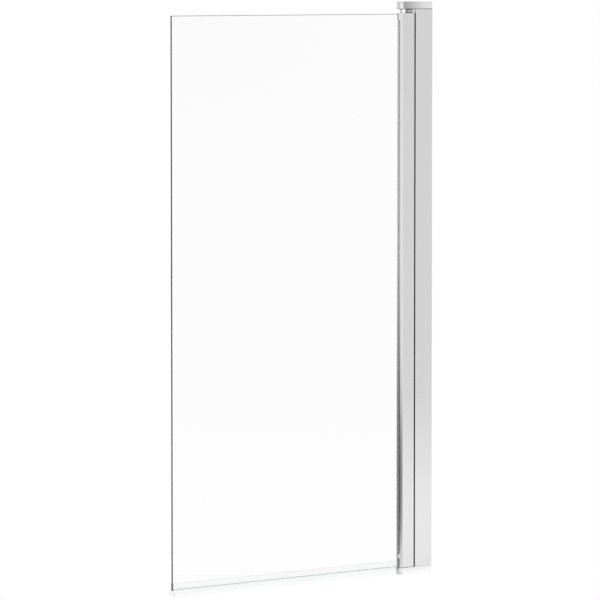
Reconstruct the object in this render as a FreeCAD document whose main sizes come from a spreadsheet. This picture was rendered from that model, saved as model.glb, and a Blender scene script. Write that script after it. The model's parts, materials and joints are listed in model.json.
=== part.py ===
import FreeCAD, Part
import math
import os
import Sketcher

from FreeCAD import Rotation, Vector

# A bath screen: one clear glass panel that swings on a slim upright hinge profile.
# The origin is on the wall, at the middle of the row of wall holes and at half the height.
# The glass runs to -X, -Y is the room side, +Y is over the bath and +Z is up.
# Millimetres and degrees.

DRIVING_SIZES = (
    # whole screen
    ("screen_width", "800"),
    ("screen_height", "1400"),
    ("section_depth", "20"),
    # wall post, measured from the wall plane
    ("wall_gap", "0.4"),
    ("post_reach", "53.9"),
    ("post_wall", "1.5"),
    ("web_thickness", "1.5"),
    ("pocket_depth", "40"),
    ("seal_recess", "2.4"),
    ("port_diameter", "9.5"),
    ("port_bore", "4.4"),
    ("port_standoff", "3.4"),
    # channel screwed to the wall inside the post
    ("channel_clearance", "0.4"),
    ("channel_wall", "1.6"),
    ("channel_base", "2"),
    ("channel_leg", "36"),
    ("wall_hole_diameter", "5"),
    ("wall_hole_pitch", "400"),
    ("adjust_travel", "20"),
    # screws that lock the post on the channel, on the bath side
    ("lock_screw_diameter", "4"),
    ("lock_head_diameter", "8"),
    ("lock_head_height", "2.2"),
    ("lock_setback", "9"),
    ("lock_pitch", "450"),
    ("lock_nut_flats", "7"),
    ("lock_nut_height", "2.6"),
    ("slot_clearance", "0.3"),
    # caps and the brackets inside them
    ("top_cap_height", "18.2"),
    ("bottom_cap_height", "16.2"),
    ("cap_wall", "1"),
    ("cap_roof", "1.2"),
    ("cap_reveal", "0.5"),
    ("cap_taper", "3"),
    ("top_taper_height", "5.5"),
    ("bottom_taper_height", "8"),
    ("bracket_clearance", "0.2"),
    ("top_arm_thickness", "8.2"),
    ("bottom_arm_thickness", "6"),
    ("bracket_screw_diameter", "4.2"),
    ("bracket_screw_hole", "4.8"),
    ("bracket_screw_head", "8"),
    ("bracket_screw_head_height", "4"),
    ("bracket_screw_grip", "25"),
    ("head_clearance", "0.3"),
    # hinge profile
    ("core_width", "9.4"),
    ("nose_land", "3.2"),
    ("knuckle_radius", "14"),
    ("lip_clearance", "0.1"),
    ("lift_gap", "9.8"),
    ("foot_gap", "1.2"),
    ("pivot_bore", "15.6"),
    ("profile_wall", "1.7"),
    ("post_seal_gap", "0.4"),
    # top pivot: a guide bush on a hexagon pin
    ("running_gap", "0.3"),
    ("hexagon_flats", "8"),
    ("hexagon_reach", "46"),
    ("spigot_diameter", "6"),
    ("pin_fit", "0.05"),
    ("bush_sleeve", "42"),
    ("bush_head_gap", "0.4"),
    # bottom pivot: two cams round a plain pin
    ("panel_lift", "6"),
    ("opening_angle", "90"),
    ("foot_pin_diameter", "8"),
    ("foot_pin_reach", "40"),
    ("cam_ring_diameter", "13"),
    ("cam_foot_radius", "10"),
    ("cam_foot_height", "3"),
    ("cam_land", "0.6"),
    ("cam_play", "4"),
    ("cam_collar_height", "3"),
    ("cam_sleeve_height", "44"),
    ("cam_press_gap", "0.1"),
    # glass and what holds it
    ("glass_thickness", "6"),
    ("glass_hold", "16.5"),
    ("glass_top_gap", "1.7"),
    ("glass_foot_gap", "2.6"),
    ("glass_arris", "0.6"),
    ("gasket_side", "1"),
    ("gasket_back", "1.8"),
    ("gasket_setback", "0.5"),
    ("top_block_height", "17"),
    ("bottom_block_height", "32.6"),
    ("bottom_face_height", "9"),
    ("block_clearance", "0.1"),
    # catch pegs at the top of the nose
    ("catch_setback", "11.5"),
    ("catch_diameter", "7"),
    ("catch_height", "6"),
    ("catch_gap", "1.5"),
    ("catch_spigot", "5"),
    # seal under the glass
    ("seal_wall", "0.8"),
    ("seal_fit", "0.1"),
    ("seal_clip_height", "15"),
    ("seal_drop", "16.8"),
    ("seal_web", "1.2"),
    ("seal_splay", "1.2"),
    ("seal_flare", "3.6"),
    ("seal_flare_drop", "10"),
    ("seal_nose_gap", "2"),
    ("seal_edge_gap", "0.4"),
)
WALL_HOLES = 4
LOCK_SCREWS = 3
HEXAGON_SIDES = 6
FULL_TURN = 360
UP = Vector(0, 0, 1)

doc = FreeCAD.newDocument("BathScreen")
sizes = doc.addObject("Spreadsheet::Sheet", "Sizes")
for row, (alias, text) in enumerate(DRIVING_SIZES, start=1):
    sizes.set(f"A{row}", alias)
    sizes.set(f"B{row}", text)
    sizes.setAlias(f"B{row}", alias)
doc.recompute()

# Places that several pieces share, as expressions on the sheet.
half_depth = "Sizes.section_depth/2"
inner_half = "(Sizes.section_depth/2 - Sizes.post_wall)"
lip_x = "(-Sizes.post_reach)"
axis_x = "(-Sizes.post_reach - Sizes.lip_clearance - Sizes.knuckle_radius)"
slot_floor_x = f"({axis_x} - Sizes.pivot_bore/2 - Sizes.core_width)"
glass_edge_x = f"({slot_floor_x} - Sizes.gasket_back)"
tip_x = f"({glass_edge_x} - Sizes.glass_hold)"
nose_x = f"({tip_x} + Sizes.section_depth/2)"
land_x = f"({tip_x} + Sizes.nose_land)"
peg_x = f"({tip_x} + Sizes.catch_setback)"
pocket_x = "(-Sizes.pocket_depth)"
recess_x = "(-Sizes.post_reach + Sizes.seal_recess)"
near_port_x = "(-Sizes.pocket_depth + Sizes.port_standoff)"
far_port_x = f"(({pocket_x} - Sizes.web_thickness) + ({recess_x} + Sizes.web_thickness))/2"
top_z = "(Sizes.screen_height/2)"
bottom_z = "(-Sizes.screen_height/2)"
top_rim = f"({top_z} - Sizes.top_cap_height)"
bottom_rim = f"({bottom_z} + Sizes.bottom_cap_height)"
post_head = f"({top_rim} - Sizes.cap_reveal)"
post_foot = f"({bottom_rim} + Sizes.cap_reveal)"
roof_z = f"({top_z} - Sizes.cap_roof)"
floor_z = f"({bottom_z} + Sizes.cap_roof)"
top_arm_z = f"({roof_z} - Sizes.top_arm_thickness)"
bottom_arm_z = f"({floor_z} + Sizes.bottom_arm_thickness)"
profile_top = f"({top_rim} - Sizes.lift_gap)"
profile_foot = f"({bottom_rim} + Sizes.foot_gap)"
slot_half = "(Sizes.glass_thickness/2 + Sizes.gasket_side)"
front_x = f"({land_x} + Sizes.gasket_setback)"
glass_top = f"({profile_top} - Sizes.glass_top_gap)"
glass_foot = f"({profile_foot} + Sizes.glass_foot_gap)"
cap_half = "(Sizes.section_depth/2 - Sizes.cap_wall)"
head_radius = f"({cap_half} - Sizes.running_gap)"
cam_rise = "(Sizes.panel_lift*180/Sizes.opening_angle)"
ramp_foot = f"({bottom_arm_z} + Sizes.cam_foot_height + Sizes.cam_land)"


def number(expression):
    return float(sizes.evalExpression(expression))


def new_body(label):
    body = doc.addObject("PartDesign::Body", label)
    body.Label = label
    return body


def place(body, x, y, z):
    body.setExpression("Placement.Base.x", x)
    body.setExpression("Placement.Base.y", y)
    body.setExpression("Placement.Base.z", z)


def new_sketch(body, name, role, offset):
    """A sketch on one of the body's own origin planes, moved along its normal."""
    sketch = body.newObject("Sketcher::SketchObject", name)
    plane = next(f for f in body.Origin.OriginFeatures if f.Role == role)
    sketch.AttachmentSupport = [(plane, "")]
    sketch.MapMode = "FlatFace"
    sketch.setExpression("AttachmentOffset.Base.z", offset)
    return sketch


def limit(sketch, kind, item, vertex, expression):
    """Ties one coordinate of a point to the sheet."""
    origin_item, origin_vertex = -1, 1
    constraint = Sketcher.Constraint(
        kind, origin_item, origin_vertex, item, vertex, number(expression)
    )
    index = sketch.addConstraint(constraint)
    sketch.setExpression(f"Constraints[{index}]", expression)


def hold(sketch, item, vertex, x, y):
    limit(sketch, "DistanceX", item, vertex, x)
    limit(sketch, "DistanceY", item, vertex, y)


def arc_between(start, end, centre_x, turns_left):
    """The arc from start to end whose centre has this X."""
    near, far = start.x - centre_x, end.x - centre_x
    rise = near**2 - far**2 + start.y**2 - end.y**2
    centre = Vector(centre_x, rise / (2 * (start.y - end.y)), 0)
    circle = Part.Circle(centre, UP, (start - centre).Length)
    first = math.atan2(start.y - centre.y, near)
    last = math.atan2(end.y - centre.y, far)
    if turns_left:
        return Part.ArcOfCircle(circle, first, last)
    return Part.ArcOfCircle(circle, last, first)


def add_outline(sketch, corners):
    """A closed loop. A corner with two more entries starts an arc: centre's X, left turn."""
    points = [Vector(number(corner[0]), number(corner[1]), 0) for corner in corners]
    ends = []
    for index, corner in enumerate(corners):
        start, end = points[index], points[(index + 1) % len(points)]
        if len(corner) == 2:
            item = sketch.addGeometry(Part.LineSegment(start, end), False)
            ends.append((item, 1, 2))
            continue
        arc = arc_between(start, end, number(corner[2]), corner[3])
        item = sketch.addGeometry(arc, False)
        limit(sketch, "DistanceX", item, 3, corner[2])
        ends.append((item, 1, 2) if corner[3] else (item, 2, 1))
    for index, (item, first, last) in enumerate(ends):
        following = ends[(index + 1) % len(ends)]
        sketch.addConstraint(
            Sketcher.Constraint("Coincident", item, last, following[0], following[1])
        )
        hold(sketch, item, first, corners[index][0], corners[index][1])


def add_circle(sketch, x, y, diameter):
    circle = Part.Circle(Vector(number(x), number(y), 0), UP, number(diameter) / 2)
    item = sketch.addGeometry(circle, False)
    hold(sketch, item, 3, x, y)
    index = sketch.addConstraint(Sketcher.Constraint("Diameter", item, number(diameter)))
    sketch.setExpression(f"Constraints[{index}]", diameter)


def extrude(kind, body, name, role, start, end, outlines=(), circles=()):
    """A Pad or Pocket along the plane's normal, from start to end."""
    sketch = new_sketch(body, f"{name}_sketch", role, start)
    for corners in outlines:
        add_outline(sketch, corners)
    for x, y, diameter in circles:
        add_circle(sketch, x, y, diameter)
    feature = body.newObject(f"PartDesign::{kind}", name)
    feature.Profile = sketch
    feature.setExpression("Length", f"({end}) - ({start})")
    feature.Reversed = kind == "Pocket"
    sketch.Visibility = False
    return feature


def pad(body, name, role, start, end, outlines=(), circles=()):
    return extrude("Pad", body, name, role, start, end, outlines, circles)


def pocket(body, name, role, start, end, outlines=(), circles=()):
    """Cuts, and makes sure that something was cut."""
    doc.recompute()
    before = body.Shape.Volume
    feature = extrude("Pocket", body, name, role, start, end, outlines, circles)
    doc.recompute()
    if not body.Shape.Volume < before:
        raise RuntimeError(f"{body.Label}: {name} cuts nothing")
    return feature


def revolve(body, name, corners):
    """A full turn of a radius and height outline about the body's own Z axis."""
    sketch = new_sketch(body, f"{name}_sketch", "XZ_Plane", "0")
    add_outline(sketch, corners)
    feature = body.newObject("PartDesign::Revolution", name)
    feature.Profile = sketch
    feature.ReferenceAxis = (sketch, ["V_Axis"])
    feature.Angle = FULL_TURN
    sketch.Visibility = False
    return feature


def row_heights(count, pitch):
    """Heights of a row that is centred on the origin."""
    return [f"({index - (count - 1) / 2}*{pitch})" for index in range(count)]


def rectangle(left, bottom, right, top):
    return [(left, bottom), (right, bottom), (right, top), (left, top)]


def hexagon(flats):
    """Corners of a hexagon round the origin, with this width across its flats."""
    step = FULL_TURN // HEXAGON_SIDES
    return [
        (f"{flats}/sqrt(3)*cos({side * step})", f"{flats}/sqrt(3)*sin({side * step})")
        for side in range(HEXAGON_SIDES)
    ]


def nosed_bar(wall_x, half):
    """A bar from the wall side to the half-round nose, as the caps and brackets have it."""
    return [
        (wall_x, half),
        (nose_x, half, nose_x, True),
        (nose_x, f"-{half}"),
        (wall_x, f"-{half}"),
    ]


def round_half(x):
    """Half the width of the half-round nose at this X."""
    return f"sqrt(({half_depth})^2 - ({nose_x} - {x})^2)"


def make_wall_channel():
    """U channel on the wall; its open side faces the glass and the post slides over it."""
    body = new_body("wall_channel")
    outer = f"({inner_half} - Sizes.channel_clearance)"
    inner = f"({outer} - Sizes.channel_wall)"
    foot = f"{post_foot} + Sizes.channel_clearance"
    head = f"{post_head} - Sizes.channel_clearance"
    section = [
        ("0", outer),
        ("-Sizes.channel_leg", outer),
        ("-Sizes.channel_leg", inner),
        ("-Sizes.channel_base", inner),
        ("-Sizes.channel_base", f"-{inner}"),
        ("-Sizes.channel_leg", f"-{inner}"),
        ("-Sizes.channel_leg", f"-{outer}"),
        ("0", f"-{outer}"),
    ]
    pad(body, "channel_section", "XY_Plane", foot, head, [section])
    holes = [
        ("0", height, "Sizes.wall_hole_diameter")
        for height in row_heights(WALL_HOLES, "Sizes.wall_hole_pitch")
    ]
    pocket(body, "wall_holes", "YZ_Plane", "-Sizes.channel_base", "0", circles=holes)
    reach = "(Sizes.lock_screw_diameter/2 + Sizes.slot_clearance)"
    near = "(-Sizes.lock_setback)"
    far = "(-Sizes.lock_setback - Sizes.adjust_travel)"
    slots = [
        rectangle(f"{far} - {reach}", f"{height} - {reach}", f"{near} + {reach}", f"{height} + {reach}")
        for height in row_heights(LOCK_SCREWS, "Sizes.lock_pitch")
    ]
    pocket(body, "lock_slots", "XZ_Plane", f"-{outer}", f"-{inner}", slots)
    return body


def make_post_profile():
    """Extrusion that covers the channel and carries the caps, with ports for their screws."""
    body = new_body("post_profile")
    wall_x = "-Sizes.wall_gap"
    section = [
        (wall_x, half_depth),
        (lip_x, half_depth),
        (lip_x, inner_half),
        (recess_x, inner_half),
        (recess_x, f"-{inner_half}"),
        (lip_x, f"-{inner_half}"),
        (lip_x, f"-{half_depth}"),
        (wall_x, f"-{half_depth}"),
        (wall_x, f"-{inner_half}"),
        (pocket_x, f"-{inner_half}"),
        (pocket_x, inner_half),
        (wall_x, inner_half),
    ]
    chamber = rectangle(
        f"{recess_x} + Sizes.web_thickness",
        f"-{inner_half}",
        f"{pocket_x} - Sizes.web_thickness",
        inner_half,
    )
    pad(body, "post_section", "XY_Plane", post_foot, post_head, [section, chamber])
    rib = rectangle(
        f"{recess_x} + Sizes.web_thickness/2",
        "-Sizes.web_thickness/2",
        near_port_x,
        "Sizes.web_thickness/2",
    )
    pad(body, "port_rib", "XY_Plane", post_foot, post_head, [rib])
    for name, x in (("near_port", near_port_x), ("far_port", far_port_x)):
        pad(body, name, "XY_Plane", post_foot, post_head, circles=[(x, "0", "Sizes.port_diameter")])
    bores = [(x, "0", "Sizes.port_bore") for x in (near_port_x, far_port_x)]
    pocket(body, "port_bores", "XY_Plane", post_foot, post_head, circles=bores)
    holes = [
        ("-Sizes.lock_setback", height, "Sizes.lock_screw_diameter + 2*Sizes.pin_fit")
        for height in row_heights(LOCK_SCREWS, "Sizes.lock_pitch")
    ]
    pocket(body, "lock_holes", "XZ_Plane", f"-{half_depth}", f"-{inner_half}", circles=holes)
    return body


def make_post_seal():
    """Rubber strip in the post's end; its hollow face stays just off the knuckle."""
    body = new_body("post_seal")
    half = f"({inner_half} - Sizes.bracket_clearance/2)"
    radius = "(Sizes.knuckle_radius + Sizes.post_seal_gap)"
    horn_x = f"({axis_x} + sqrt({radius}^2 - {half}^2))"
    section = [
        (recess_x, f"-{half}"),
        (recess_x, half),
        (horn_x, half, axis_x, False),
        (horn_x, f"-{half}"),
    ]
    pad(body, "seal_section", "XY_Plane", profile_foot, profile_top, [section])
    return body


def make_cap(label, rim, closed, inside, taper_height):
    """Thin cap: a nosed bar that tapers towards its closed end, hollowed from its open side."""
    body = new_body(label)
    upward = number(closed) > number(rim)
    shoulder = f"({closed} {'-' if upward else '+'} {taper_height})"
    outline = nosed_bar("-Sizes.wall_gap", half_depth)
    low, high = sorted((rim, shoulder), key=number)
    pad(body, "cap_bar", "XY_Plane", low, high, [outline])
    end = pad(body, "cap_end", "XY_Plane", shoulder, f"{shoulder} + {taper_height}", [outline])
    end.Reversed = not upward
    end.setExpression("TaperAngle", "-Sizes.cap_taper")
    hollow = nosed_bar("(-Sizes.wall_gap - Sizes.cap_wall)", cap_half)
    low, high = sorted((rim, inside), key=number)
    pocket(body, "cap_hollow", "XY_Plane", low, high, [hollow])
    return body


def make_bracket(label, seat, arm, back, peg_hole):
    """Block on the post's end with an arm over the pivot; screws and pins pass through it."""
    body = new_body(label)
    wall_x = "(-Sizes.wall_gap - Sizes.cap_wall - Sizes.bracket_clearance)"
    half = f"({cap_half} - Sizes.bracket_clearance)"
    low, high = sorted((arm, back), key=number)
    pad(body, "arm", "XY_Plane", low, high, [nosed_bar(wall_x, half)])
    low, high = sorted((seat, arm), key=number)
    pad(body, "block", "XY_Plane", low, high, [rectangle(lip_x, f"-{half}", wall_x, half)])
    low, high = sorted((seat, back), key=number)
    holes = [(x, "0", "Sizes.bracket_screw_hole") for x in (near_port_x, far_port_x)]
    pocket(body, "screw_holes", "XY_Plane", low, high, circles=holes)
    head = "(Sizes.bracket_screw_head/2 + Sizes.head_clearance)"
    sign = "-" if number(back) > number(arm) else "+"
    bed = f"({back} {sign} Sizes.bracket_screw_head_height)"
    low, high = sorted((bed, back), key=number)
    tray = rectangle(f"{far_port_x} - {head}", f"-{head}", f"{near_port_x} + {head}", head)
    pocket(body, "head_tray", "XY_Plane", low, high, [tray])
    low, high = sorted((arm, back), key=number)
    pocket(body, "pin_holes", "XY_Plane", low, high, circles=peg_hole)
    return body


def make_bracket_screw(label, x, seat, back):
    """Pan-head screw that holds a bracket in one of the post's ports."""
    body = new_body(label)
    upward = number(back) > number(seat)
    sign, away = ("-", "+") if upward else ("+", "-")
    bed = f"({back} {sign} Sizes.bracket_screw_head_height)"
    tip = f"({seat} {sign} Sizes.bracket_screw_grip)"
    shank = "Sizes.bracket_screw_diameter/2"
    head = "Sizes.bracket_screw_head/2"
    crown = f"({bed} {away} Sizes.bracket_screw_head_height*3/4)"
    outline = [("0", tip), (shank, tip), (shank, bed), (head, bed), (head, crown), ("0", crown)]
    revolve(body, "screw_turning", outline)
    place(body, x, "0", "0")
    return body


def make_top_pin():
    """Hexagon pin that hangs from the top arm; the guide bush slides on it and cannot turn."""
    body = new_body("top_pin")
    foot = f"{top_arm_z} - Sizes.hexagon_reach"
    pad(body, "hexagon", "XY_Plane", foot, top_arm_z, [hexagon("Sizes.hexagon_flats")])
    spigot = [("0", "0", "Sizes.spigot_diameter")]
    pad(body, "spigot", "XY_Plane", top_arm_z, roof_z, circles=spigot)
    place(body, axis_x, "0", "0")
    return body


def make_bottom_pin():
    """Plain pin that stands in the bottom arm."""
    body = new_body("bottom_pin")
    radius = "(Sizes.foot_pin_diameter/2)"
    head = f"({bottom_arm_z} + Sizes.foot_pin_reach)"
    outline = [
        ("0", floor_z),
        (radius, floor_z),
        (radius, head),
        ("0", head),
    ]
    revolve(body, "pin_turning", outline)
    place(body, axis_x, "0", "0")
    return body


def make_catch_pin():
    """Peg under the top arm that the panel's own peg cannot rise past while it is shut."""
    body = new_body("catch_pin")
    radius = "Sizes.catch_diameter/2"
    spigot = "Sizes.catch_spigot/2"
    foot = f"({profile_top} + Sizes.catch_height + Sizes.catch_gap)"
    outline = [
        ("0", foot),
        (radius, foot),
        (radius, top_arm_z),
        (spigot, top_arm_z),
        (spigot, roof_z),
        ("0", roof_z),
    ]
    revolve(body, "peg_turning", outline)
    place(body, peg_x, "0", "0")
    return body


def cut_ramps(body, inner, outer, low, high):
    """Two helical ramps, half a turn each, that rise clockwise seen from above."""
    sketch = new_sketch(body, "ramp_sketch", "XZ_Plane", "0")
    add_outline(sketch, rectangle(inner, low, outer, high))
    ramp = body.newObject("PartDesign::SubtractiveHelix", "ramp")
    ramp.Profile = sketch
    ramp.ReferenceAxis = (sketch, ["V_Axis"])
    ramp.Mode = "pitch-height-angle"
    ramp.setExpression("Pitch", f"2*{cam_rise}")
    ramp.setExpression("Height", cam_rise)
    ramp.LeftHanded = True
    sketch.Visibility = False
    doc.recompute()
    pattern = body.newObject("PartDesign::PolarPattern", "ramps")
    pattern.Originals = [ramp]
    pattern.Axis = (sketch, ["V_Axis"])
    pattern.Angle = FULL_TURN
    pattern.Occurrences = 2
    body.Tip = pattern
    return pattern


def make_lower_cam():
    """Cam ring on the bottom arm; flats on its foot keep it from turning in the cap."""
    body = new_body("lower_cam")
    foot_top = f"({bottom_arm_z} + Sizes.cam_foot_height)"
    half = f"({cap_half} - Sizes.running_gap)"
    flat_x = f"sqrt(Sizes.cam_foot_radius^2 - {half}^2)"
    foot = [
        (f"-{flat_x}", f"-{half}"),
        (flat_x, f"-{half}", "0", True),
        (flat_x, half),
        (f"-{flat_x}", half, "0", True),
    ]
    pad(body, "foot", "XY_Plane", bottom_arm_z, foot_top, [foot])
    ring_top = f"({ramp_foot} + {cam_rise})"
    ring = [("0", "0", "Sizes.cam_ring_diameter")]
    pad(body, "ring", "XY_Plane", foot_top, ring_top, circles=ring)
    bore = [("0", "0", "Sizes.foot_pin_diameter + 2*Sizes.pin_fit")]
    pocket(body, "bore", "XY_Plane", bottom_arm_z, ring_top, circles=bore)
    inner = "Sizes.foot_pin_diameter/4"
    outer = "(Sizes.cam_ring_diameter/2 + Sizes.running_gap)"
    cut_ramps(body, inner, outer, ramp_foot, f"{ramp_foot} + {cam_rise} + Sizes.cam_land")
    place(body, axis_x, "0", "0")
    return body


def make_upper_cam():
    """Cam sleeve in the foot of the hinge profile; its collar carries the profile."""
    body = new_body("upper_cam")
    play_rise = f"{cam_rise}*Sizes.cam_play/180"
    start = f"({ramp_foot} + Sizes.running_gap + {play_rise})"
    collar_foot = f"({profile_foot} - Sizes.cam_collar_height)"
    head = f"({profile_foot} + Sizes.cam_sleeve_height)"
    bore = "(Sizes.foot_pin_diameter/2 + Sizes.running_gap)"
    ring = "(Sizes.cam_ring_diameter/2)"
    hollow = f"({ring} + Sizes.running_gap)"
    sleeve = "(Sizes.pivot_bore/2 - Sizes.cam_press_gap)"
    outline = [
        (bore, start),
        (ring, start),
        (ring, collar_foot),
        (head_radius, collar_foot),
        (head_radius, profile_foot),
        (sleeve, profile_foot),
        (sleeve, head),
        (bore, head),
    ]
    revolve(body, "sleeve_turning", outline)
    below = f"{start} - {cam_rise} - Sizes.cam_land"
    cut_ramps(body, "Sizes.foot_pin_diameter/4", hollow, below, start)
    body.Placement.Rotation = Rotation(UP, -number("Sizes.cam_play"))
    place(body, axis_x, "0", "0")
    return body


def make_guide_bush():
    """Bush with a hexagon bore: it rises on the top pin while the profile turns round it."""
    body = new_body("guide_bush")
    seat = f"({profile_top} + Sizes.running_gap)"
    foot = f"({profile_top} - Sizes.bush_sleeve)"
    head = f"({top_rim} - Sizes.bush_head_gap)"
    sleeve = "(Sizes.pivot_bore/2 - Sizes.running_gap)"
    outline = [
        ("0", foot),
        (sleeve, foot),
        (sleeve, seat),
        (head_radius, seat),
        (head_radius, head),
        ("0", head),
    ]
    revolve(body, "bush_turning", outline)
    bore = hexagon("(Sizes.hexagon_flats + 2*Sizes.running_gap)")
    pocket(body, "hexagon_bore", "XY_Plane", foot, head, [bore])
    place(body, axis_x, "0", "0")
    return body


def make_hinge_profile():
    """Extrusion with a round knuckle end, a pivot bore, chambers and a nose with the glass slot."""
    body = new_body("hinge_profile")
    corner_x = f"({axis_x} + sqrt(Sizes.knuckle_radius^2 - ({half_depth})^2))"
    land_half = round_half(land_x)
    section = [
        (corner_x, f"-{half_depth}", axis_x, True),
        (corner_x, half_depth),
        (nose_x, half_depth, nose_x, True),
        (land_x, land_half),
        (land_x, f"-{land_half}", nose_x, True),
        (nose_x, f"-{half_depth}"),
    ]
    pad(body, "profile_section", "XY_Plane", profile_foot, profile_top, [section])
    bore = [(axis_x, "0", "Sizes.pivot_bore")]
    pocket(body, "pivot_bore", "XY_Plane", profile_foot, profile_top, circles=bore)
    slot = rectangle(tip_x, f"-{slot_half}", slot_floor_x, slot_half)
    pocket(body, "glass_slot", "XY_Plane", profile_foot, profile_top, [slot])
    wall = "Sizes.profile_wall"
    skin = f"({half_depth} - {wall})"
    chamber = rectangle(
        f"{slot_floor_x} + {wall}",
        f"-{skin}",
        f"{axis_x} - Sizes.pivot_bore/2 - {wall}",
        skin,
    )
    pocket(body, "chamber", "XY_Plane", profile_foot, profile_top, [chamber])
    for name, low, high in (
        ("front_chamber", f"-{skin}", f"-({slot_half} + {wall})"),
        ("back_chamber", f"{slot_half} + {wall}", skin),
    ):
        side = rectangle(nose_x, low, slot_floor_x, high)
        pocket(body, name, "XY_Plane", profile_foot, profile_top, [side])
    return body


def make_glass_pane():
    """Toughened pane with ground edges."""
    body = new_body("glass_pane")
    half = "Sizes.glass_thickness/2"
    face = rectangle("-Sizes.screen_width", glass_foot, glass_edge_x, glass_top)
    pane = pad(body, "pane", "XZ_Plane", f"-{half}", half, [face])
    doc.recompute()
    arris = body.newObject("PartDesign::Chamfer", "arris")
    arris.Base = (pane, [f"Edge{index + 1}" for index in range(len(pane.Shape.Edges))])
    arris.setExpression("Size", "Sizes.glass_arris")
    return body


def make_glazing_gasket():
    """U gasket between the glass and the slot."""
    body = new_body("glazing_gasket")
    glass_half = "(Sizes.glass_thickness/2)"
    section = [
        (front_x, slot_half),
        (front_x, glass_half),
        (glass_edge_x, glass_half),
        (glass_edge_x, f"-{glass_half}"),
        (front_x, f"-{glass_half}"),
        (front_x, f"-{slot_half}"),
        (slot_floor_x, f"-{slot_half}"),
        (slot_floor_x, slot_half),
    ]
    foot = f"{profile_foot} + Sizes.bottom_block_height"
    head = f"{profile_top} - Sizes.top_block_height"
    pad(body, "gasket_section", "XY_Plane", foot, head, [section])
    return body


def make_end_block(label, low, high, edge, face_foot, pegged):
    """Block that closes one end of the glass slot; its face makes the cut nose round again."""
    body = new_body(label)
    clear = "Sizes.block_clearance"
    half = f"({slot_half} - {clear})"
    bar = rectangle(front_x, f"-{half}", f"{slot_floor_x} - {clear}", half)
    pad(body, "block", "XY_Plane", low, high, [bar])
    seat_x = f"({land_x} - {clear})"
    face_half = round_half(seat_x)
    face = [
        (front_x, half),
        (seat_x, half),
        (seat_x, face_half, nose_x, True),
        (seat_x, f"-{face_half}"),
        (seat_x, f"-{half}"),
        (front_x, f"-{half}"),
    ]
    pad(body, "face", "XY_Plane", face_foot, high, [face])
    if pegged:
        peg = [(peg_x, "0", "Sizes.catch_diameter")]
        pad(body, "peg", "XY_Plane", high, f"{high} + Sizes.catch_height", circles=peg)
    half_glass = "Sizes.glass_thickness/2"
    saddle = rectangle(tip_x, f"-{half_glass}", glass_edge_x, half_glass)
    foot, head = (low, edge) if pegged else (edge, high)
    pocket(body, "glass_seat", "XY_Plane", foot, head, [saddle])
    return body


def make_bottom_seal():
    """Clear strip clipped on the lower edge of the glass, with a drip fin and a flared fin."""
    body = new_body("bottom_seal")
    inner = "(Sizes.glass_thickness/2 + Sizes.seal_fit)"
    outer = f"({inner} + Sizes.seal_wall)"
    seat = f"({glass_foot} - Sizes.seal_fit)"
    clip_top = f"({glass_foot} + Sizes.seal_clip_height)"
    web = f"({seat} - Sizes.seal_web)"
    tip = f"({glass_foot} - Sizes.seal_drop)"
    flare_y = f"({outer} + Sizes.seal_flare)"
    flare_z = f"({web} - Sizes.seal_flare_drop)"
    section = [
        (f"-{outer}", clip_top),
        (f"-{outer}", web),
        (f"-{outer} - Sizes.seal_splay", tip),
        (f"-{outer} - Sizes.seal_splay + Sizes.seal_wall", tip),
        (f"-{outer} + Sizes.seal_wall", web),
        (f"{outer} - Sizes.seal_wall", web),
        (f"{flare_y} - Sizes.seal_wall", flare_z),
        (flare_y, flare_z),
        (outer, web),
        (outer, clip_top),
        (inner, clip_top),
        (inner, seat),
        (f"-{inner}", seat),
        (f"-{inner}", clip_top),
    ]
    near = f"({tip_x} - Sizes.seal_nose_gap)"
    far = "(-Sizes.screen_width + Sizes.seal_edge_gap)"
    pad(body, "seal_section", "YZ_Plane", far, near, [section])
    return body


def lay_across(body, height):
    """Puts a turned piece on one of the locking holes, its own Z along +Y."""
    body.Placement.Rotation = Rotation(Vector(1, 0, 0), -FULL_TURN / 4)
    place(body, "-Sizes.lock_setback", "0", height)


def make_lock_set(number_in_row, height):
    """Pan-head screw and nut of one locking point."""
    shank = "(Sizes.lock_screw_diameter/2)"
    head = "(Sizes.lock_head_diameter/2)"
    crown = f"({half_depth} + Sizes.lock_head_height)"
    channel_inside = f"({inner_half} - Sizes.channel_clearance - Sizes.channel_wall)"
    nut_face = f"({channel_inside} - Sizes.running_gap)"
    nut_back = f"({nut_face} - Sizes.lock_nut_height)"
    screw = new_body(f"lock_screw_{number_in_row}")
    outline = [
        ("0", nut_back),
        (shank, nut_back),
        (shank, half_depth),
        (head, half_depth),
        (head, crown),
        ("0", crown),
    ]
    revolve(screw, "screw_turning", outline)
    nut = new_body(f"lock_nut_{number_in_row}")
    thread = [("0", "0", "Sizes.lock_screw_diameter + 2*Sizes.pin_fit")]
    nut_section = [hexagon("Sizes.lock_nut_flats")]
    pad(nut, "nut_section", "XY_Plane", nut_back, nut_face, nut_section, thread)
    for body in (screw, nut):
        lay_across(body, height)
    return [screw, nut]


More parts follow.
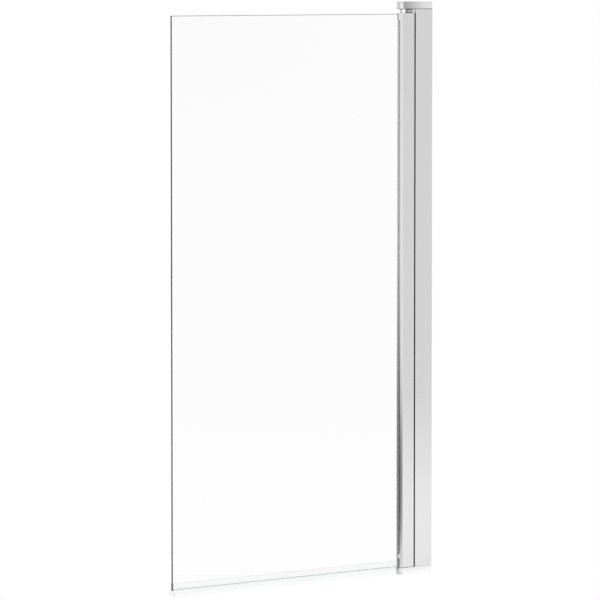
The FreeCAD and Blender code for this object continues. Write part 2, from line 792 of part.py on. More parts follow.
def make_everything():
    spigot_hole = (axis_x, "0", "Sizes.spigot_diameter + 2*Sizes.pin_fit")
    peg_hole = (peg_x, "0", "Sizes.catch_spigot + 2*Sizes.pin_fit")
    foot_hole = (axis_x, "0", "Sizes.foot_pin_diameter + 2*Sizes.pin_fit")
    top_block_foot = f"({profile_top} - Sizes.top_block_height + Sizes.block_clearance)"
    bottom_block_head = f"({profile_foot} + Sizes.bottom_block_height - Sizes.block_clearance)"
    bottom_face_foot = f"({bottom_block_head} - Sizes.bottom_face_height)"
    bodies = [
        make_wall_channel(),
        make_post_profile(),
        make_post_seal(),
        make_cap("top_cap", top_rim, top_z, roof_z, "Sizes.top_taper_height"),
        make_cap("bottom_cap", bottom_rim, bottom_z, floor_z, "Sizes.bottom_taper_height"),
        make_bracket("top_bracket", post_head, top_arm_z, roof_z, [spigot_hole, peg_hole]),
        make_bracket("bottom_bracket", post_foot, bottom_arm_z, floor_z, [foot_hole]),
        make_bracket_screw("top_screw_near", near_port_x, post_head, roof_z),
        make_bracket_screw("top_screw_far", far_port_x, post_head, roof_z),
        make_bracket_screw("bottom_screw_near", near_port_x, post_foot, floor_z),
        make_bracket_screw("bottom_screw_far", far_port_x, post_foot, floor_z),
        make_top_pin(),
        make_bottom_pin(),
        make_catch_pin(),
        make_lower_cam(),
        make_upper_cam(),
        make_guide_bush(),
        make_hinge_profile(),
        make_glass_pane(),
        make_glazing_gasket(),
        make_end_block(
            "top_end_block", top_block_foot, profile_top, glass_top, top_block_foot, True
        ),
        make_end_block(
            "bottom_end_block", profile_foot, bottom_block_head, glass_foot, bottom_face_foot, False
        ),
        make_bottom_seal(),
    ]
    for place_in_row, height in enumerate(row_heights(LOCK_SCREWS, "Sizes.lock_pitch")):
        bodies += make_lock_set(place_in_row + 1, height)
    return bodies


def check(bodies):
    """Every object is up to date and every piece is one valid solid."""
    for thing in doc.Objects:
        if "Invalid" in thing.State or "Error" in thing.State:
            raise RuntimeError(f"{thing.Label} failed: {thing.State}")
    for body in bodies:
        shape = body.Shape
        if shape.isNull() or not shape.isValid() or len(shape.Solids) != 1:
            raise RuntimeError(f"{body.Label} is not one valid solid")


subparts = make_everything()
doc.recompute()
check(subparts)
os.makedirs("parts", exist_ok=True)
for subpart in subparts:
    subpart.Shape.exportStep(f"parts/{subpart.Label}.step")
print(f"{len(subparts)} sub-parts written")
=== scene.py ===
import json
import math

import bmesh
import bpy
from mathutils import Matrix, Vector


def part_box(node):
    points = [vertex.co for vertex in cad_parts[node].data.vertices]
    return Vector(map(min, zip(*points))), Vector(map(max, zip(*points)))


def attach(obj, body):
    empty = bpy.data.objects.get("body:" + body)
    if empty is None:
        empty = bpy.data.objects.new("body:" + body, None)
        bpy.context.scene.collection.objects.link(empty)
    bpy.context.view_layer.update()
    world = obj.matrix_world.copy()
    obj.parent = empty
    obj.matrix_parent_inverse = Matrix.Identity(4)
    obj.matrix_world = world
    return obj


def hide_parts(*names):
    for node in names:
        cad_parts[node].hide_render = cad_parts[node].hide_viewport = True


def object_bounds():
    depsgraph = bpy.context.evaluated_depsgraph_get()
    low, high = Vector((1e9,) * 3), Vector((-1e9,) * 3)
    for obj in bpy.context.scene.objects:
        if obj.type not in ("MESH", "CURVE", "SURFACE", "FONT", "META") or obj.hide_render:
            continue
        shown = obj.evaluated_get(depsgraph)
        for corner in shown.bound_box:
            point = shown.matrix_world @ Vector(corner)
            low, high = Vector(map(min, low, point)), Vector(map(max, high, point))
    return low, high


MM = 0.001
WHITE = (1.0, 1.0, 1.0, 1.0)

# The photograph's camera, found from the screen's real size: 1.4 m high and 0.8 m wide.
IMAGE_SIDE = 600
FOCAL_PIXELS = 4756.7
SENSOR_MM = 36.0
VIEW_AZIMUTH = -39.425
LOOK_DOWN = 4.024
CAMERA_PLACE = (-7.6324, -8.7845, 0.7875)
CAMERA_REACH = 100.0

# The floor is a bath's height under the screen. Its own light tops it up to white, and less
# so in polished surfaces, where the walls beside it are grey.
FLOOR_SIDE = 3.0
BATH_HEIGHT = 0.55
FLOOR_GLOW = 0.23
FLOOR_MIRRORED = 0.1

# The white room's light on surfaces that aren't polished, and one large lamp on the room side.
ROOM_LIGHT = 0.86
LAMP_PLACE = (-2.6, -3.4, 3.6)
LAMP_SIDE = 3.0
LAMP_POWER = 34.0

# Grey cards round the white room, which only polished surfaces show. In degrees: bearing
# from the room side round towards the wall, and height over the horizon. Each side of a card
# fades between two values; the last number is how much light the card takes away. A card with
# one of these four sides runs on to there.
BEHIND_ON_THE_RIGHT = (181.0, 182.0)
BEHIND_ON_THE_LEFT = (-182.0, -181.0)
STRAIGHT_DOWN = (-91.0, -90.0)
STRAIGHT_UP = (90.0, 91.0)
CARDS = (
    # wide card that greys the flat fronts, down to the edge of the white table
    ((30.0, 34.0), (60.0, 80.0), (-6.6, -5.0), STRAIGHT_UP, 0.20),
    # narrow darker card that shades the caps towards their nose
    ((28.0, 31.0), (35.0, 41.2), (-2.2, -0.6), (30.0, 50.0), 0.56),
    # shade under the table's edge, seen in the bottom cap
    ((18.0, 26.0), (60.0, 70.0), (-8.5, -7.9), (-7.29, -7.24), 0.14),
    # dark far wall between the table and the room, seen in the round nose
    ((-168.0, -150.0), (16.0, 36.0), (-7.2, -6.7), (-6.0, -4.7), 0.70),
    # dark doorway behind the glass, seen in the flat beside the glazing line
    ((-168.0, -155.0), (-118.0, -8.0), (-7.24, -7.04), (-5.4, -3.2), 0.97),
    # pale grey room side on the left, darker above and below
    ((-62.0, -46.0), (24.0, 32.0), STRAIGHT_DOWN, STRAIGHT_UP, 0.10),
    ((-62.0, -46.0), (16.0, 32.0), (0.0, 5.0), STRAIGHT_UP, 0.14),
    ((-62.0, -46.0), (24.0, 32.0), STRAIGHT_DOWN, (-11.0, -8.0), 0.16),
    ((24.0, 32.0), (60.0, 80.0), STRAIGHT_DOWN, (-20.0, -14.0), 0.24),
    # grey walls beside and behind the screen, in two halves that meet over the bath
    ((60.0, 80.0), BEHIND_ON_THE_RIGHT, STRAIGHT_DOWN, STRAIGHT_UP, 0.28),
    (BEHIND_ON_THE_LEFT, (-62.0, -46.0), STRAIGHT_DOWN, STRAIGHT_UP, 0.28),
    # slim dark uprights, which give round metal its streaks from the other sides
    ((96.0, 102.0), (112.0, 122.0), STRAIGHT_DOWN, STRAIGHT_UP, 0.45),
    ((152.0, 158.0), (164.0, 170.0), STRAIGHT_DOWN, STRAIGHT_UP, 0.35),
    ((-106.0, -100.0), (-90.0, -84.0), STRAIGHT_DOWN, STRAIGHT_UP, 0.40),
    ((-30.0, -24.0), (-16.0, -10.0), (1.0, 5.0), STRAIGHT_UP, 0.30),
)

# Where a noise pattern has nearly all its values.
NOISE_LOW = 0.3
NOISE_HIGH = 0.7

# How much of a face's normal points up or down where the face starts to count as level, and
# where it fully does.
LEVEL_FROM = 0.9
LEVEL_FULLY = 0.97

# How wide the ground band at the glass's edges looks, and how many times narrower it is at the
# foot and at the free upright edge, which is also lighter.
ARRIS = 2.0 * MM
LOWER_EDGE_POLISH = 8.0
UPRIGHT_EDGE_POLISH = 2.4
UPRIGHT_EDGE_LIGHTER = 0.66 * ARRIS
GROUND_ROUGHNESS = 0.4

# The caps' flats are crowned. Their fall from an apex near the wall is this number times the
# square of the distance to it, all in metres.
CAP_CROWN_PER_METRE = -0.26
CAP_CROWN_APEX = -12.0 * MM
CAP_RIPPLE_RELIEF = 0.004 * MM

# Painted shade on the caps' faces within this reach of the profiles' ends, and at the lip, for the
# shadowed joint between cap and profile.
CAP_JOINT_REACH = 3.0 * MM
CAP_JOINT_FADE = 1.0 * MM
CAP_LIP = 1.0 * MM
CAP_LIP_FADE = 0.3 * MM

# Shares of half the gap that shows the bush: bright up to the first, in painted shade from the second.
BUSH_BRIGHT = 0.45
BUSH_SHADED = 0.7

# M4 pan-head screws. The dome's rings are in degrees over the head's rim and stop short of the
# top, which is a small flat. The recess narrows downwards to a share of its size. It stands at
# SCREW_TURN in the first screw, and twice that further round in each next one.
LOCK_SCREWS = ("lock_screw_1", "lock_screw_2", "lock_screw_3")
SCREW_SIDES = 48
SCREW_POINT = 1.5 * MM
SCREW_SHANK = 2.0 * MM
SCREW_HEAD = 4.0 * MM
SCREW_HEAD_HEIGHT = 2.2 * MM
SCREW_HEAD_RIM = 0.9 * MM
DOME_RINGS = (15, 30, 45, 60, 75, 86)
RECESS_REACH = 2.1 * MM
RECESS_HALF_WIDTH = 0.55 * MM
RECESS_DEPTH = 1.5 * MM
RECESS_TAPER = 0.55
SCREW_TURN = 25.0
SHARP_EDGE = 30.0


def linear(hex_colour):
    """A colour written as sRGB hex, as the renderer wants it, and solid."""
    values = [int(hex_colour[i : i + 2], 16) / 255 for i in (0, 2, 4)]
    light = [v / 12.92 if v <= 0.04045 else ((v + 0.055) / 1.055) ** 2.4 for v in values]
    return (*light, 1.0)


def add_node(tree, kind, links=None, output=0, **settings):
    """One shader node, of which it gives back an output. A setting named _3 fills socket 3;
    others are sockets or properties."""
    node = tree.nodes.new(kind)
    for key, value in settings.items():
        if key[1:].isdigit():
            node.inputs[int(key[1:])].default_value = value
        elif hasattr(node, key):
            setattr(node, key, value)
        else:
            node.inputs[key.replace("_", " ")].default_value = value
    for socket, source in (links or {}).items():
        tree.links.new(source, node.inputs[socket])
    return node.outputs[output] if node.outputs else None


def new_material(name, **values):
    """A Principled material with its plain values on the shader's own sockets."""
    material = bpy.data.materials.new(name)
    material.use_nodes = True
    shader = material.node_tree.nodes["Principled BSDF"]
    for socket, value in values.items():
        shader.inputs[socket.replace("_", " ")].default_value = value
    return material, material.node_tree, shader


def places_on(tree):
    """A point's place on its piece, as three outputs."""
    place = add_node(tree, "ShaderNodeTexCoord", output="Object")
    return add_node(tree, "ShaderNodeSeparateXYZ", {0: place}).node.outputs


def grain_on(tree, sizes, detail=3.0):
    """Noise fixed to the piece, whose grains have these sizes in millimetres along each axis."""
    per_metre = [1 / (size * MM) for size in sizes]
    place = add_node(tree, "ShaderNodeTexCoord", output="Object")
    stretched = add_node(tree, "ShaderNodeMapping", {"Vector": place}, Scale=per_metre)
    return add_node(tree, "ShaderNodeTexNoise", {"Vector": stretched}, Scale=1.0, Detail=detail)


def finish_with(tree, shader, grain, rough, tones, relief=0.0):
    """Lets one grain drive the roughness, two tones and, if given, a relief in millimetres."""
    roughness = add_node(
        tree, "ShaderNodeMapRange", {0: grain},
        _1=NOISE_LOW, _2=NOISE_HIGH, _3=rough[0], _4=rough[1],
    )
    tree.links.new(roughness, shader.inputs["Roughness"])
    blend = add_node(
        tree, "ShaderNodeMix", {0: grain}, output=2,
        data_type="RGBA", _6=linear(tones[0]), _7=linear(tones[1]),
    )
    tree.links.new(blend, shader.inputs["Base Color"])
    if relief:
        bump = add_node(tree, "ShaderNodeBump", {"Height": grain}, Distance=relief * MM)
        tree.links.new(bump, shader.inputs["Normal"])


def dull_or_shade_where(tree, shader, share, tone, rough):
    """Fades the colour and roughness of a finish to a darker one where share is 1: a real dull finish,
    or painted shade.
    """
    colour, roughness = shader.inputs["Base Color"], shader.inputs["Roughness"]
    duller = add_node(
        tree, "ShaderNodeMix", {0: share, 6: colour.links[0].from_socket}, output=2,
        data_type="RGBA", _7=linear(tone),
    )
    rougher = add_node(
        tree, "ShaderNodeMix", {0: share, 2: roughness.links[0].from_socket},
        data_type="FLOAT", _3=rough,
    )
    tree.links.new(duller, colour)
    tree.links.new(rougher, roughness)


def level_faces(tree):
    """1 on faces that look straight up or down and 0 on the others."""
    normal = add_node(tree, "ShaderNodeTexCoord", output="Normal")
    upward = add_node(tree, "ShaderNodeSeparateXYZ", {0: normal}, output="Z")
    size = add_node(tree, "ShaderNodeMath", {0: upward}, operation="ABSOLUTE")
    return add_node(tree, "ShaderNodeMapRange", {0: size}, _1=LEVEL_FROM, _2=LEVEL_FULLY)


def polished_aluminium():
    """Extruded, polished and bright-anodised aluminium: a soft mirror with faint lines along
    its length, and sawn ends that are grey and matt. Die lines are about 0.2 mm apart; they are
    drawn 2.5 mm apart to show."""
    material, tree, shader = new_material("polished_anodised_aluminium", Metallic=1.0)
    lines = grain_on(tree, (2.5, 2.5, 667), detail=2.0)
    finish_with(tree, shader, lines, rough=(0.035, 0.075), tones=("e6e6e7", "ebebec"), relief=0.002)
    dull_or_shade_where(tree, shader, level_faces(tree), tone="757576", rough=0.5)
    return material


def mill_aluminium():
    """Extruded aluminium as it leaves the press: duller and greyer, with die lines drawn
    1 mm apart, because nobody sees it once the post is on."""
    material, tree, shader = new_material("mill_aluminium", Metallic=1.0)
    lines = grain_on(tree, (1, 1, 333), detail=2.0)
    finish_with(tree, shader, lines, rough=(0.26, 0.4), tones=("bcbcbe", "cacacc"), relief=0.01)
    return material


def painted_joint_shade(tree):
    """Painted shade for the joints between caps and profiles: 1 on the caps' faces that meet the
    profiles, and along the top cap's lip there.
    """
    height = places_on(tree)["Z"]
    level = add_node(tree, "ShaderNodeMath", {0: height}, operation="ABSOLUTE")
    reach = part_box("post_profile")[1].z + CAP_JOINT_REACH
    at_joint = add_node(
        tree, "ShaderNodeMapRange", {0: level}, _1=reach + CAP_JOINT_FADE, _2=reach
    )
    inner = add_node(
        tree, "ShaderNodeMath", {0: at_joint, 1: level_faces(tree)}, operation="MULTIPLY"
    )
    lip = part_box("top_cap")[0].z
    over = add_node(tree, "ShaderNodeMath", {0: height}, operation="SUBTRACT", _1=lip)
    apart = add_node(tree, "ShaderNodeMath", {0: over}, operation="ABSOLUTE")
    at_lip = add_node(
        tree, "ShaderNodeMapRange", {0: apart}, _1=CAP_LIP, _2=CAP_LIP - CAP_LIP_FADE
    )
    return add_node(tree, "ShaderNodeMath", {0: inner, 1: at_lip}, operation="MAXIMUM")


def cap_chrome():
    """Chrome plate on moulded ABS: a clear cool mirror whose flats are slightly crowned, with moulding
    ripple 12.5 mm long, a few thousandths deep. Painted shade darkens it on the face that meets the
    profile, and along the top cap's lip there, where the joint is in shade."""
    material, tree, shader = new_material("chrome_plated_abs", Metallic=1.0)
    ripple = grain_on(tree, (12.5, 12.5, 12.5), detail=1.0)
    finish_with(tree, shader, ripple, rough=(0.02, 0.05), tones=("f8f8f8", "f9f9f9"))
    # painted shade at the joint between cap and profile
    dull_or_shade_where(tree, shader, painted_joint_shade(tree), tone="4a4a4a", rough=0.5)
    along = places_on(tree)["X"]
    off = add_node(tree, "ShaderNodeMath", {0: along}, operation="SUBTRACT", _1=CAP_CROWN_APEX)
    square = add_node(tree, "ShaderNodeMath", {0: off, 1: off}, operation="MULTIPLY")
    crown = add_node(
        tree, "ShaderNodeMath", {0: square}, operation="MULTIPLY", _1=CAP_CROWN_PER_METRE
    )
    waves = add_node(
        tree, "ShaderNodeMath", {0: ripple, 2: crown}, operation="MULTIPLY_ADD", _1=CAP_RIPPLE_RELIEF
    )
    bump = add_node(tree, "ShaderNodeBump", {"Height": waves}, Distance=1.0)
    tree.links.new(bump, shader.inputs["Normal"])
    return material


def turned_chrome():
    """Chrome on turned brass: a mirror with fine rings round the bush, drawn 0.83 mm apart. Its tones
    are darker than the caps' chrome, and darker again at its two ends: painted shade of the narrow gap
    between the top cap and the hinge profile."""
    material, tree, shader = new_material("chrome_on_turned_brass", Metallic=1.0)
    rings = grain_on(tree, (50, 50, 0.83), detail=1.0)
    # tones darkened as painted shade of the gap
    finish_with(tree, shader, rings, rough=(0.04, 0.1), tones=("b4b4b4", "c6c6c6"), relief=0.001)
    gap_top, gap_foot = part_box("top_cap")[0].z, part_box("hinge_profile")[1].z
    middle, half_gap = (gap_top + gap_foot) / 2, (gap_top - gap_foot) / 2
    level = add_node(
        tree, "ShaderNodeMath", {0: places_on(tree)["Z"]}, operation="SUBTRACT", _1=middle
    )
    away = add_node(tree, "ShaderNodeMath", {0: level}, operation="ABSOLUTE")
    ends = add_node(
        tree, "ShaderNodeMapRange", {0: away}, _1=half_gap * BUSH_BRIGHT, _2=half_gap * BUSH_SHADED
    )
    # painted shade at the bush's two ends
    dull_or_shade_where(tree, shader, ends, tone="4c4c4c", rough=0.3)
    return material


def cast_alloy():
    """Zinc die casting: satin grey with a fine pebble 1.4 mm across."""
    material, tree, shader = new_material("die_cast_zinc", Metallic=1.0)
    pebble = grain_on(tree, (1.43, 1.43, 1.43))
    finish_with(tree, shader, pebble, rough=(0.34, 0.5), tones=("9c9c9c", "adadad"), relief=0.02)
    return material


def satin_steel():
    """Turned stainless steel: satin grey, with tool marks drawn 0.5 mm apart; its grey is darkened past
    bare steel as painted shade of the gap under the top cap.
    """
    material, tree, shader = new_material("turned_stainless_steel", Metallic=1.0)
    marks = grain_on(tree, (1.11, 1.11, 0.5))
    # tones darkened as painted shade
    finish_with(tree, shader, marks, rough=(0.16, 0.3), tones=("8c8c8b", "a09f9e"), relief=0.003)
    return material


def moulded(name, tones, rough, grain_size, specular=0.5):
    """Moulded plastic or rubber with a soft grain of this size in millimetres."""
    material, tree, shader = new_material(name, Specular_IOR_Level=specular)
    grain = grain_on(tree, (grain_size, grain_size, grain_size))
    finish_with(tree, shader, grain, rough=rough, tones=tones, relief=0.015)
    return material


def clear_pvc():
    """Soft clear PVC extrusion: see-through, a little milky, with faint streaks along it. It
    bends light less than solid PVC, so that its thin fins look as faint as they do."""
    material, tree, shader = new_material("clear_soft_pvc", IOR=1.34, Transmission_Weight=1.0)
    streaks = grain_on(tree, (333, 1.43, 1.43))
    finish_with(tree, shader, streaks, rough=(0.05, 0.16), tones=("f9fbfb", "ffffff"))
    return let_lamps_through(material)


def clear_glass():
    """Toughened float glass: clear, with ground arrises that look grey and matt."""
    material, tree, shader = new_material("toughened_float_glass", IOR=1.5, Transmission_Weight=1.0)
    places = places_on(tree)
    low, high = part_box("glass_pane")
    across = add_node(tree, "ShaderNodeMath", {0: places["X"]}, operation="SUBTRACT", _1=low.x)
    aside = add_node(
        tree, "ShaderNodeMath", {0: across}, operation="MULTIPLY_ADD",
        _1=UPRIGHT_EDGE_POLISH, _2=UPRIGHT_EDGE_LIGHTER,
    )
    risen = add_node(tree, "ShaderNodeMath", {0: places["Z"]}, operation="SUBTRACT", _1=low.z)
    above = add_node(tree, "ShaderNodeMath", {0: risen}, operation="MULTIPLY", _1=LOWER_EDGE_POLISH)
    below = add_node(tree, "ShaderNodeMath", {1: places["Z"]}, operation="SUBTRACT", _0=high.z)
    nearer = add_node(tree, "ShaderNodeMath", {0: above, 1: below}, operation="MINIMUM")
    nearest = add_node(tree, "ShaderNodeMath", {0: nearer, 1: aside}, operation="MINIMUM")
    ground = add_node(tree, "ShaderNodeMapRange", {0: nearest}, _1=ARRIS, _2=ARRIS / 2)
    roughness = add_node(
        tree, "ShaderNodeMath", {0: ground}, operation="MULTIPLY", _1=GROUND_ROUGHNESS
    )
    tint = add_node(
        tree, "ShaderNodeMix", {0: ground}, output=2,
        data_type="RGBA", _6=linear("fefefe"), _7=linear("7c7d7d"),
    )
    tree.links.new(roughness, shader.inputs["Roughness"])
    tree.links.new(tint, shader.inputs["Base Color"])
    return let_lamps_through(material)


def let_lamps_through(material):
    """Lamps shine through a clear piece instead of throwing a solid shadow."""
    tree = material.node_tree
    shader, output = tree.nodes["Principled BSDF"], tree.nodes["Material Output"]
    in_shadow = add_node(tree, "ShaderNodeLightPath", output="Is Shadow Ray")
    clear = add_node(tree, "ShaderNodeBsdfTransparent")
    mixed = add_node(tree, "ShaderNodeMixShader", {0: in_shadow, 1: shader.outputs[0], 2: clear})
    tree.links.new(mixed, output.inputs["Surface"])
    return material


def build_materials():
    return {
        "bright_profile": polished_aluminium(),
        "channel": mill_aluminium(),
        "chrome_cap": cap_chrome(),
        "chrome_bush": turned_chrome(),
        "cast_bracket": cast_alloy(),
        "steel": satin_steel(),
        # off-white, waxy and smooth
        "cam_plastic": moulded("white_acetal", ("e4e3dc", "efeee8"), (0.26, 0.36), 1.11),
        # pale grey with a moulded grain
        "block_plastic": moulded("pale_nylon", ("ececea", "f4f4f2"), (0.28, 0.4), 1.11),
        # near black and matt, with little gloss
        "black_rubber": moulded("black_epdm_rubber", ("070707", "101010"), (0.5, 0.68), 0.67, 0.15),
        # nearly white, with a soft gloss
        "pale_gasket": moulded("pale_glazing_rubber", ("f9fafa", "ffffff"), (0.3, 0.44), 0.83),
        "clear_seal": clear_pvc(),
        "clear_glass": clear_glass(),
    }


def dress_nodes(frame, materials):
    """Every CAD node takes the material of its slot in the record."""
    for entry in frame["record"]["subparts"]:
        mesh = frame["nodes"][entry["node"]].data
        mesh.materials.clear()
        mesh.materials.append(materials[entry["material_slot"]])


def join_rings(build, rings):
    """Walls between rings of points, and a face over each end."""
    for lower, upper in zip(rings, rings[1:]):
        for side in range(len(lower)):
            build.faces.new((lower[side - 1], lower[side], upper[side], upper[side - 1]))
    build.faces.new(list(reversed(rings[0])))
    build.faces.new(rings[-1])


def finish_mesh(build, name):
    bmesh.ops.recalc_face_normals(build, faces=build.faces)
    mesh = bpy.data.meshes.new(name)
    build.to_mesh(mesh)
    build.free()
    piece = bpy.data.objects.new(name, mesh)
    bpy.context.scene.collection.objects.link(piece)
    return piece


def turned_form(name, outline, sides):
    """A closed form turned about Z from (radius, height) points, its foot first."""
    build = bmesh.new()
    turns = [math.tau * side / sides for side in range(sides)]
    rings = []
    for radius, height in outline:
        ring = [(radius * math.cos(turn), radius * math.sin(turn), height) for turn in turns]
        rings.append([build.verts.new(point) for point in ring])
    join_rings(build, rings)
    return finish_mesh(build, name)


def pan_head_outline(length):
    """Half a screw's outline as (radius, height) points, from its point up to its crown."""
    seat = length - SCREW_HEAD_HEIGHT
    rim = seat + SCREW_HEAD_RIM
    outline = [
        (SCREW_POINT, 0.0),
        (SCREW_SHANK, SCREW_SHANK - SCREW_POINT),
        (SCREW_SHANK, seat),
        (SCREW_HEAD, seat),
        (SCREW_HEAD, rim),
    ]
    for degrees in DOME_RINGS:
        turn = math.radians(degrees)
        height = rim + (SCREW_HEAD_HEIGHT - SCREW_HEAD_RIM) * math.sin(turn)
        outline.append((SCREW_HEAD * math.cos(turn), height))
    return outline


def cross_cutter(crown):
    """A plain cross that narrows downwards, standing through the screw's crown."""
    arm, half = RECESS_REACH, RECESS_HALF_WIDTH
    quarter = [(arm, -half), (arm, half), (half, half)]
    build = bmesh.new()
    rings = []
    for size, height in ((RECESS_TAPER, crown - RECESS_DEPTH), (1.0, crown + half)):
        ring = []
        for turn in range(4):
            spin = Matrix.Rotation(math.radians(90 * turn), 3, "Z")
            ring += [build.verts.new(spin @ Vector((x * size, y * size, height))) for x, y in quarter]
        rings.append(ring)
    join_rings(build, rings)
    return finish_mesh(build, "recess_cutter")


def cut_recess(screw, crown):
    """Cuts the cross recess and gives the screw the cut mesh."""
    cutter = cross_cutter(crown)
    cut = screw.modifiers.new("recess", "BOOLEAN")
    cut.operation = "DIFFERENCE"
    cut.solver = "EXACT"
    cut.object = cutter
    shown = bpy.context.evaluated_depsgraph_get()
    mesh = bpy.data.meshes.new_from_object(screw.evaluated_get(shown))
    screw.modifiers.clear()
    screw.data = mesh
    bpy.data.objects.remove(cutter)


def build_lock_screws(frame):
    """Pan-head screws with a cross recess, where the solids have plain heads."""
    for number, node in enumerate(LOCK_SCREWS):
        low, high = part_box(node)
        length = high.y - low.y
        name = "pan_head_screw_%d" % (number + 1)
        screw = turned_form(name, pan_head_outline(length), SCREW_SIDES)
        cut_recess(screw, length)
        drive = Matrix.Rotation(math.radians(SCREW_TURN * (1 + 2 * number)), 4, "Z")
        lay = Matrix.Rotation(math.radians(-90), 4, "X")
        seat = Matrix.Translation(((low.x + high.x) / 2, low.y, (low.z + high.z) / 2))
        screw.data.transform(seat @ lay @ drive)
        screw.data.shade_smooth()
        screw.data.set_sharp_from_angle(angle=math.radians(SHARP_EDGE))
        screw.data.materials.clear()
        screw.data.materials.append(frame["nodes"][node].data.materials[0])
        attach(screw, "post")
        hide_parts(node)


def white_floor():
    """Plain white floor that keeps the screen's shadow. Its underside is clear, so that it
    doesn't hide the screen from below."""
    material = bpy.data.materials.new("white_floor")
    material.use_nodes = True
    tree = material.node_tree
    tree.nodes.clear()
    ray = add_node(tree, "ShaderNodeLightPath").node.outputs
    mirrored = add_node(
        tree, "ShaderNodeMath", {0: ray["Is Glossy Ray"]}, operation="MULTIPLY", _1=FLOOR_MIRRORED
    )
    seen = add_node(
        tree, "ShaderNodeMath", {0: ray["Is Camera Ray"], 1: mirrored}, operation="MAXIMUM"
    )
    seen = add_node(
        tree, "ShaderNodeMath", {0: seen, 1: ray["Is Transmission Ray"]}, operation="MAXIMUM"
    )
    strength = add_node(tree, "ShaderNodeMath", {0: seen}, operation="MULTIPLY", _1=FLOOR_GLOW)
    matt = add_node(tree, "ShaderNodeBsdfDiffuse", Color=linear("ececec"))
    glow = add_node(tree, "ShaderNodeEmission", {"Strength": strength}, Color=WHITE)
    both = add_node(tree, "ShaderNodeAddShader", {0: matt, 1: glow})
    clear = add_node(tree, "ShaderNodeBsdfTransparent")
    below = add_node(tree, "ShaderNodeNewGeometry", output="Backfacing")
    sided = add_node(tree, "ShaderNodeMixShader", {0: below, 1: both, 2: clear})
    add_node(tree, "ShaderNodeOutputMaterial", {"Surface": sided})
    return material


def build_floor(level):
    half = FLOOR_SIDE / 2
    mesh = bpy.data.meshes.new("floor")
    corners = [(-half, -half), (half, -half), (half, half), (-half, half)]
    mesh.from_pydata([Vector((x, y, level)) for x, y in corners], [], [(0, 1, 2, 3)])
    mesh.materials.append(white_floor())
    floor = bpy.data.objects.new("floor", mesh)
    bpy.context.scene.collection.objects.link(floor)


def between(tree, value, start, end):
    """1 between the two soft sides of a card and 0 outside them."""
    rise = add_node(
        tree, "ShaderNodeMapRange", {0: value}, interpolation_type="SMOOTHSTEP", _1=start[0], _2=start[1]
    )
    fall = add_node(
        tree, "ShaderNodeMapRange", {0: value}, interpolation_type="SMOOTHSTEP", _1=end[1], _2=end[0]
    )
    return add_node(tree, "ShaderNodeMath", {0: rise, 1: fall}, operation="MULTIPLY")


def room_with_cards(tree):
    """How light the room is in each direction, with the cards in front of it."""
    direction = add_node(tree, "ShaderNodeTexCoord", output="Generated")
    ways = add_node(tree, "ShaderNodeSeparateXYZ", {0: direction}).node.outputs
    ahead = add_node(tree, "ShaderNodeMath", {0: ways["Y"]}, operation="MULTIPLY", _1=-1.0)
    turn = add_node(tree, "ShaderNodeMath", {0: ways["X"], 1: ahead}, operation="ARCTAN2")
    bearing = add_node(tree, "ShaderNodeMath", {0: turn}, operation="DEGREES")
    rise = add_node(tree, "ShaderNodeMath", {0: ways["Z"]}, operation="ARCSINE")
    height = add_node(tree, "ShaderNodeMath", {0: rise}, operation="DEGREES")
    shares = []
    for left, right, low, high, depth in CARDS:
        wide = between(tree, bearing, left, right)
        tall = between(tree, height, low, high)
        cover = add_node(tree, "ShaderNodeMath", {0: wide, 1: tall}, operation="MULTIPLY")
        shares.append(
            add_node(tree, "ShaderNodeMath", {0: cover}, operation="MULTIPLY_ADD", _1=-depth, _2=1.0)
        )
    light = shares[0]
    for share in shares[1:]:
        light = add_node(tree, "ShaderNodeMath", {0: light, 1: share}, operation="MULTIPLY")
    return light


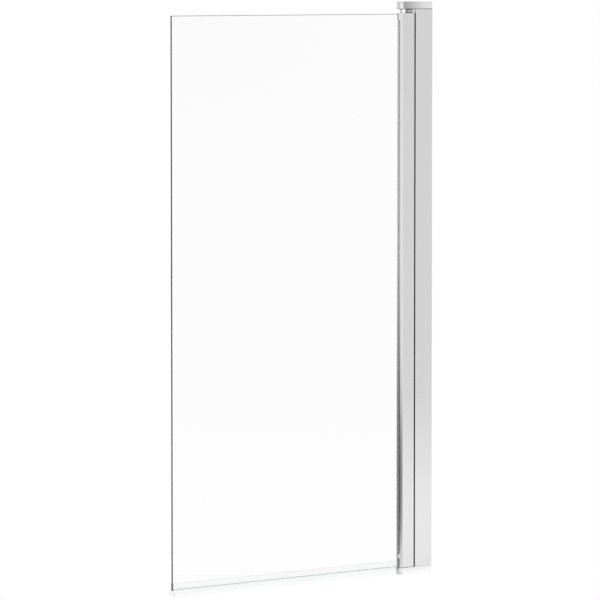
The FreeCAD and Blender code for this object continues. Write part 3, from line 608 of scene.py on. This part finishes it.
def build_world():
    """White where the camera looks and behind the glass; the room with its cards in polished
    surfaces; plain soft light for everything else."""
    world = bpy.data.worlds.new("studio")
    bpy.context.scene.world = world
    world.use_nodes = True
    tree = world.node_tree
    tree.nodes.clear()
    path = add_node(tree, "ShaderNodeLightPath").node.outputs
    mirrored = add_node(
        tree, "ShaderNodeMath", {0: path["Glossy Depth"]}, operation="MINIMUM", _1=1.0
    )
    scattered = add_node(
        tree, "ShaderNodeMath", {0: path["Diffuse Depth"]}, operation="MINIMUM", _1=1.0
    )
    backdrop = add_node(tree, "ShaderNodeBackground", Color=WHITE, Strength=1.0)
    cards = add_node(tree, "ShaderNodeBackground", {"Strength": room_with_cards(tree)}, Color=WHITE)
    room = add_node(tree, "ShaderNodeBackground", Color=WHITE, Strength=ROOM_LIGHT)
    polished = add_node(tree, "ShaderNodeMixShader", {0: mirrored, 1: backdrop, 2: cards})
    whole = add_node(tree, "ShaderNodeMixShader", {0: scattered, 1: polished, 2: room})
    add_node(tree, "ShaderNodeOutputWorld", {"Surface": whole})


def build_lamp():
    """One large soft lamp, high on the room side, aimed at the screen."""
    lamp = bpy.data.lights.new("soft_lamp", "AREA")
    lamp.size = LAMP_SIDE
    lamp.energy = LAMP_POWER
    holder = bpy.data.objects.new("soft_lamp", lamp)
    holder.location = LAMP_PLACE
    holder.rotation_mode = "QUATERNION"
    holder.rotation_quaternion = (-Vector(LAMP_PLACE)).to_track_quat("-Z", "Y")
    bpy.context.scene.collection.objects.link(holder)


def build_camera():
    camera = bpy.data.objects.new("camera", bpy.data.cameras.new("camera"))
    bpy.context.scene.collection.objects.link(camera)
    camera.data.sensor_width = SENSOR_MM
    camera.data.lens = FOCAL_PIXELS * SENSOR_MM / IMAGE_SIDE
    camera.data.clip_end = CAMERA_REACH
    camera.location = CAMERA_PLACE
    turn, dip = math.radians(VIEW_AZIMUTH), math.radians(LOOK_DOWN)
    ahead = Vector(
        (-math.sin(turn) * math.cos(dip), math.cos(turn) * math.cos(dip), -math.sin(dip))
    )
    camera.rotation_mode = "QUATERNION"
    camera.rotation_quaternion = ahead.to_track_quat("-Z", "Y")
    bpy.context.scene.camera = camera


with open("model.json") as file:
    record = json.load(file)
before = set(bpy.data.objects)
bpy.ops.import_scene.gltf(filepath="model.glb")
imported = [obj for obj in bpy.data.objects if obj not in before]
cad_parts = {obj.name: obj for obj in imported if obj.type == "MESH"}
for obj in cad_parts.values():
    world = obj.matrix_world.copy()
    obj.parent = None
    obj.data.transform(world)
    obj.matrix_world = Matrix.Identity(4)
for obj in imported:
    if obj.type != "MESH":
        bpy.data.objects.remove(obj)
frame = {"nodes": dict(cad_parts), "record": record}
cad_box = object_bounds()
dress_nodes(frame, build_materials())
build_lock_screws(frame)
build_floor(cad_box[0].z - BATH_HEIGHT)
build_world()
build_lamp()
build_camera()
bpy.context.scene.view_settings.view_transform = "Standard"
